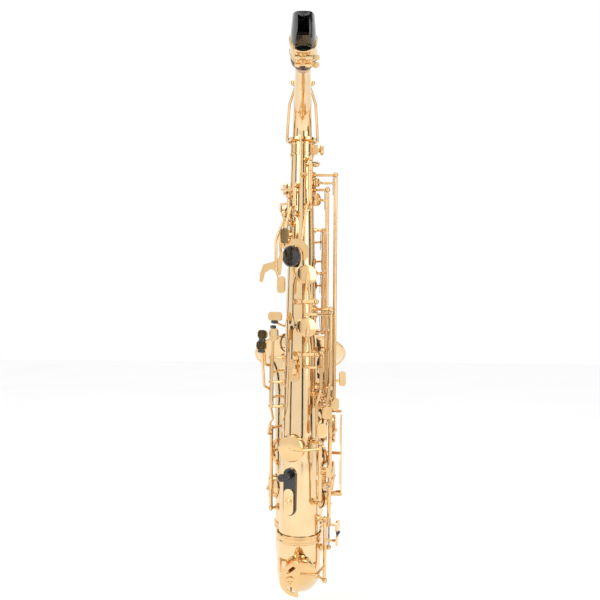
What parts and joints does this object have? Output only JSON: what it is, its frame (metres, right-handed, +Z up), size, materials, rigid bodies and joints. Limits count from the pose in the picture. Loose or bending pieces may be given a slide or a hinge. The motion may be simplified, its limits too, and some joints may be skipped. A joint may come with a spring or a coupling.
{
  "type": "curved-bell saxophone",
  "caption": "Lacquered brass saxophone with a conical body tube, upturned flared bell, curved neck, black mouthpiece and hinged pad keys on rods.",
  "frame": {"origin": "centre of the strap ring on the player's side", "axes": "+Z up along the body tube's axis, towards the neck; -Y towards the player; +X to the player's right"},
  "size_m": [0.1268, 0.3958, 0.6439],
  "materials": {
    "lacquered_brass": "clear gold lacquer, glossy",
    "key_brass": "clear gold lacquer, glossy; leather-faced pads under the cups",
    "post_brass": "clear gold lacquer, glossy",
    "ligature_brass": "gold lacquer",
    "steel_rods": "ground steel",
    "black_ebonite": "polished black",
    "black_plastic": "polished black",
    "cork": "fine natural cork, greased"
  },
  "bodies": {
    "horn": {"bell": "lacquered_brass", "bell_brace": "lacquered_brass", "bell_key_guard": "lacquered_brass", "bell_posts": "post_brass", "bell_rim": "lacquered_brass", "body_posts": "post_brass", "body_tube": "lacquered_brass", "bow": "lacquered_brass", "bow_bell_ring": "lacquered_brass", "bow_body_ring": "lacquered_brass", "bow_posts": "post_brass", "hinge_rods": "steel_rods", "low_c_guard": "lacquered_brass", "neck_receiver": "lacquered_brass", "strap_ring": "lacquered_brass", "thumb_hook": "black_plastic", "thumb_hook_plate": "lacquered_brass", "thumb_hook_screw": "lacquered_brass", "thumb_rest": "black_plastic"},
    "neck": {"neck_cork": "cork", "neck_posts": "post_brass", "neck_rod": "steel_rods", "neck_tube": "lacquered_brass"},
    "neck_octave": {"key_neck_octave": "key_brass"},
    "mouthpiece_set": {"mouthpiece": "black_ebonite", "ligature": "ligature_brass"},
    "ligature_screw_lower_body": {"ligature_screw_lower": "ligature_brass"},
    "ligature_screw_upper_body": {"ligature_screw_upper": "ligature_brass"},
    "neck_screw_body": {"neck_screw": "lacquered_brass"},
    "c_key": {"key_c": "key_brass"},
    "b_key": {"key_b": "key_brass"},
    "a_key": {"key_a": "key_brass"},
    "g_key": {"key_g": "key_brass"},
    "f_sharp_key": {"key_f_sharp": "key_brass"},
    "f_key": {"key_f": "key_brass"},
    "e_key": {"key_e": "key_brass"},
    "d_key": {"key_d": "key_brass"},
    "palm_d": {"key_palm_d": "key_brass"},
    "palm_e_flat": {"key_palm_e_flat": "key_brass"},
    "palm_f": {"key_palm_f": "key_brass"},
    "side_e": {"key_side_e": "key_brass"},
    "high_f_sharp": {"key_high_f_sharp": "key_brass"},
    "side_c": {"key_side_c": "key_brass"},
    "side_b_flat": {"key_side_b_flat": "key_brass"},
    "side_c_press": {"side_c_lever": "lacquered_brass"},
    "side_b_flat_press": {"side_b_flat_lever": "lacquered_brass"},
    "body_octave": {"key_body_octave": "key_brass"},
    "octave_thumb": {"octave_thumb_lever": "lacquered_brass"},
    "g_sharp": {"key_g_sharp": "key_brass"},
    "low_c_sharp": {"key_low_c_sharp": "key_brass"},
    "low_b_flat": {"key_low_b_flat": "key_brass"},
    "low_b": {"key_low_b": "key_brass"},
    "low_b_flat_press": {"low_b_flat_lever": "lacquered_brass"},
    "low_b_press": {"low_b_lever": "lacquered_brass"},
    "e_flat": {"key_e_flat": "key_brass"},
    "low_c": {"key_low_c": "key_brass"},
    "trill_f_sharp": {"key_trill_f_sharp": "key_brass"}
  },
  "joints": [
    {"name": "neck_swivel", "type": "hinge", "parent": "horn", "child": "neck", "pos_m": [0.007, 0.036, 0.27], "axis": [0, 0, 1], "range_deg": [-15, 15]},
    {"name": "neck_octave_hinge", "type": "hinge", "parent": "neck", "child": "neck_octave", "pos_m": [0.007, -0.00631, 0.33112], "axis": [1, 0, 0], "range_deg": [0, 1.6], "stiffness_Nm_per_rad": 0.05},
    {"name": "mouthpiece_slide", "type": "slide", "parent": "neck", "child": "mouthpiece_set", "axis": [0, -0.9659, 0.2588], "range_m": [-0.006, 0.008]},
    {"name": "ligature_screw_lower_turn", "type": "hinge", "parent": "mouthpiece_set", "child": "ligature_screw_lower_body", "pos_m": [0.007, -0.10439, 0.32102], "axis": [1, 0, 0], "range_deg": [-180, 180]},
    {"name": "ligature_screw_upper_turn", "type": "hinge", "parent": "mouthpiece_set", "child": "ligature_screw_upper_body", "pos_m": [0.007, -0.11694, 0.32438], "axis": [1, 0, 0], "range_deg": [-180, 180]},
    {"name": "neck_screw_turn", "type": "hinge", "parent": "horn", "child": "neck_screw_body", "pos_m": [0.0235, 0.039, 0.2625], "axis": [1, 0, 0], "range_deg": [-180, 180]},
    {"name": "c_key_hinge", "type": "hinge", "parent": "horn", "child": "c_key", "pos_m": [0.034, 0.048, 0.15], "axis": [0, 0, 1], "range_deg": [0, 9], "stiffness_Nm_per_rad": 0.05},
    {"name": "b_key_hinge", "type": "hinge", "parent": "horn", "child": "b_key", "pos_m": [0.034, 0.048, 0.127], "axis": [0, 0, 1], "range_deg": [0, 9], "stiffness_Nm_per_rad": 0.05},
    {"name": "a_key_hinge", "type": "hinge", "parent": "horn", "child": "a_key", "pos_m": [0.034, 0.048, 0.097], "axis": [0, 0, 1], "range_deg": [0, 9], "stiffness_Nm_per_rad": 0.05},
    {"name": "g_key_hinge", "type": "hinge", "parent": "horn", "child": "g_key", "pos_m": [0.034, 0.048, 0.062], "axis": [0, 0, 1], "range_deg": [0, 9], "stiffness_Nm_per_rad": 0.05},
    {"name": "f_sharp_key_hinge", "type": "hinge", "parent": "horn", "child": "f_sharp_key", "pos_m": [0.044, 0.039, 0.02], "axis": [0, 0, 1], "range_deg": [0, 9], "stiffness_Nm_per_rad": 0.05},
    {"name": "f_key_hinge", "type": "hinge", "parent": "horn", "child": "f_key", "pos_m": [0.044, 0.039, -0.024], "axis": [0, 0, 1], "range_deg": [0, 9], "stiffness_Nm_per_rad": 0.05},
    {"name": "e_key_hinge", "type": "hinge", "parent": "horn", "child": "e_key", "pos_m": [0.044, 0.039, -0.068], "axis": [0, 0, 1], "range_deg": [0, 9], "stiffness_Nm_per_rad": 0.05},
    {"name": "d_key_hinge", "type": "hinge", "parent": "horn", "child": "d_key", "pos_m": [0.044, 0.039, -0.114], "axis": [0, 0, 1], "range_deg": [0, 9], "stiffness_Nm_per_rad": 0.05},
    {"name": "palm_d_hinge", "type": "hinge", "parent": "horn", "child": "palm_d", "pos_m": [-0.013, 0.026, 0.17], "axis": [0, 0, 1], "range_deg": [0, 12], "stiffness_Nm_per_rad": 0.05},
    {"name": "palm_e_flat_hinge", "type": "hinge", "parent": "horn", "child": "palm_e_flat", "pos_m": [-0.0085, 0.0192, 0.187], "axis": [0, 0, 1], "range_deg": [0, 12], "stiffness_Nm_per_rad": 0.05},
    {"name": "palm_f_hinge", "type": "hinge", "parent": "horn", "child": "palm_f", "pos_m": [-0.0016, 0.014, 0.199], "axis": [0, 0, 1], "range_deg": [0, 12], "stiffness_Nm_per_rad": 0.05},
    {"name": "side_e_hinge", "type": "hinge", "parent": "horn", "child": "side_e", "pos_m": [0.038, 0.0325, 0.1], "axis": [0, 0, 1], "range_deg": [0, 12], "stiffness_Nm_per_rad": 0.05},
    {"name": "high_f_sharp_hinge", "type": "hinge", "parent": "horn", "child": "high_f_sharp", "pos_m": [0.048, 0.0325, 0.1], "axis": [0, 0, 1], "range_deg": [0, 12], "stiffness_Nm_per_rad": 0.05},
    {"name": "side_c_hinge", "type": "hinge", "parent": "horn", "child": "side_c", "pos_m": [0.01503, 0.00973, 0.077], "axis": [0.9563, 0.2924, 0], "range_deg": [0, 10.5], "stiffness_Nm_per_rad": 0.05},
    {"name": "side_b_flat_hinge", "type": "hinge", "parent": "horn", "child": "side_b_flat", "pos_m": [0.0155, 0.0082, 0.0145], "axis": [0.9563, 0.2924, 0], "range_deg": [0, 10.5], "stiffness_Nm_per_rad": 0.05},
    {"name": "side_c_press_hinge", "type": "hinge", "parent": "horn", "child": "side_c_press", "pos_m": [0.043, 0.022, 0.02], "axis": [0, 0, 1], "range_deg": [-5.2, 0], "stiffness_Nm_per_rad": 0.05},
    {"name": "side_b_flat_press_hinge", "type": "hinge", "parent": "horn", "child": "side_b_flat_press", "pos_m": [0.032, 0.019, -0.009], "axis": [0, 0, 1], "range_deg": [-8.3, 0], "stiffness_Nm_per_rad": 0.05},
    {"name": "body_octave_hinge", "type": "hinge", "parent": "horn", "child": "body_octave", "pos_m": [0.017, 0.015, 0.24], "axis": [0, 0, 1], "range_deg": [-12, 0], "stiffness_Nm_per_rad": 0.05},
    {"name": "octave_thumb_hinge", "type": "hinge", "parent": "horn", "child": "octave_thumb", "pos_m": [0.017, 0.015, 0.21], "axis": [0, 0, 1], "range_deg": [-7, 0], "stiffness_Nm_per_rad": 0.05},
    {"name": "g_sharp_hinge", "type": "hinge", "parent": "horn", "child": "g_sharp", "pos_m": [0, 0.065, 0.026], "axis": [0, 0, 1], "range_deg": [-11, 0], "stiffness_Nm_per_rad": 0.05},
    {"name": "low_c_sharp_hinge", "type": "hinge", "parent": "horn", "child": "low_c_sharp", "pos_m": [-0.029, 0.077, -0.14], "axis": [0, 0, 1], "range_deg": [0, 8], "stiffness_Nm_per_rad": 0.05},
    {"name": "low_b_flat_hinge", "type": "hinge", "parent": "horn", "child": "low_b_flat", "pos_m": [0.045, 0.075, -0.088], "axis": [0, 0, 1], "range_deg": [0, 8], "stiffness_Nm_per_rad": 0.05},
    {"name": "low_b_hinge", "type": "hinge", "parent": "horn", "child": "low_b", "pos_m": [0.045, 0.075, -0.15], "axis": [0, 0, 1], "range_deg": [0, 10], "stiffness_Nm_per_rad": 0.05},
    {"name": "low_b_flat_press_hinge", "type": "hinge", "parent": "horn", "child": "low_b_flat_press", "pos_m": [-0.029, 0.046, 0.013], "axis": [0, 0, 1], "range_deg": [-3, 0], "stiffness_Nm_per_rad": 0.05},
    {"name": "low_b_press_hinge", "type": "hinge", "parent": "horn", "child": "low_b_press", "pos_m": [-0.029, 0.046, -0.03], "axis": [0, 0, 1], "range_deg": [-3, 0], "stiffness_Nm_per_rad": 0.05},
    {"name": "e_flat_hinge", "type": "hinge", "parent": "horn", "child": "e_flat", "pos_m": [0.043, 0.033, -0.17], "axis": [0, 0, 1], "range_deg": [-11, 0], "stiffness_Nm_per_rad": 0.05},
    {"name": "low_c_hinge", "type": "hinge", "parent": "horn", "child": "low_c", "pos_m": [0.038, 0.024, -0.22], "axis": [0, 0, 1], "range_deg": [-8, 0], "stiffness_Nm_per_rad": 0.05},
    {"name": "trill_f_sharp_hinge", "type": "hinge", "parent": "horn", "child": "trill_f_sharp", "pos_m": [0.031, 0.01, -0.126], "axis": [0, 0, 1], "range_deg": [0, 9], "stiffness_Nm_per_rad": 0.05}
  ],
  "couplings": [
    {"joint": "side_c_hinge", "follows": "side_c_press_hinge", "ratio": -2},
    {"joint": "side_b_flat_hinge", "follows": "side_b_flat_press_hinge", "ratio": -1.26},
    {"joint": "neck_octave_hinge", "follows": "octave_thumb_hinge", "ratio": -0.22},
    {"joint": "low_b_flat_hinge", "follows": "low_b_flat_press_hinge", "ratio": -2.65},
    {"joint": "low_b_hinge", "follows": "low_b_press_hinge", "ratio": -3.3}
  ]
}
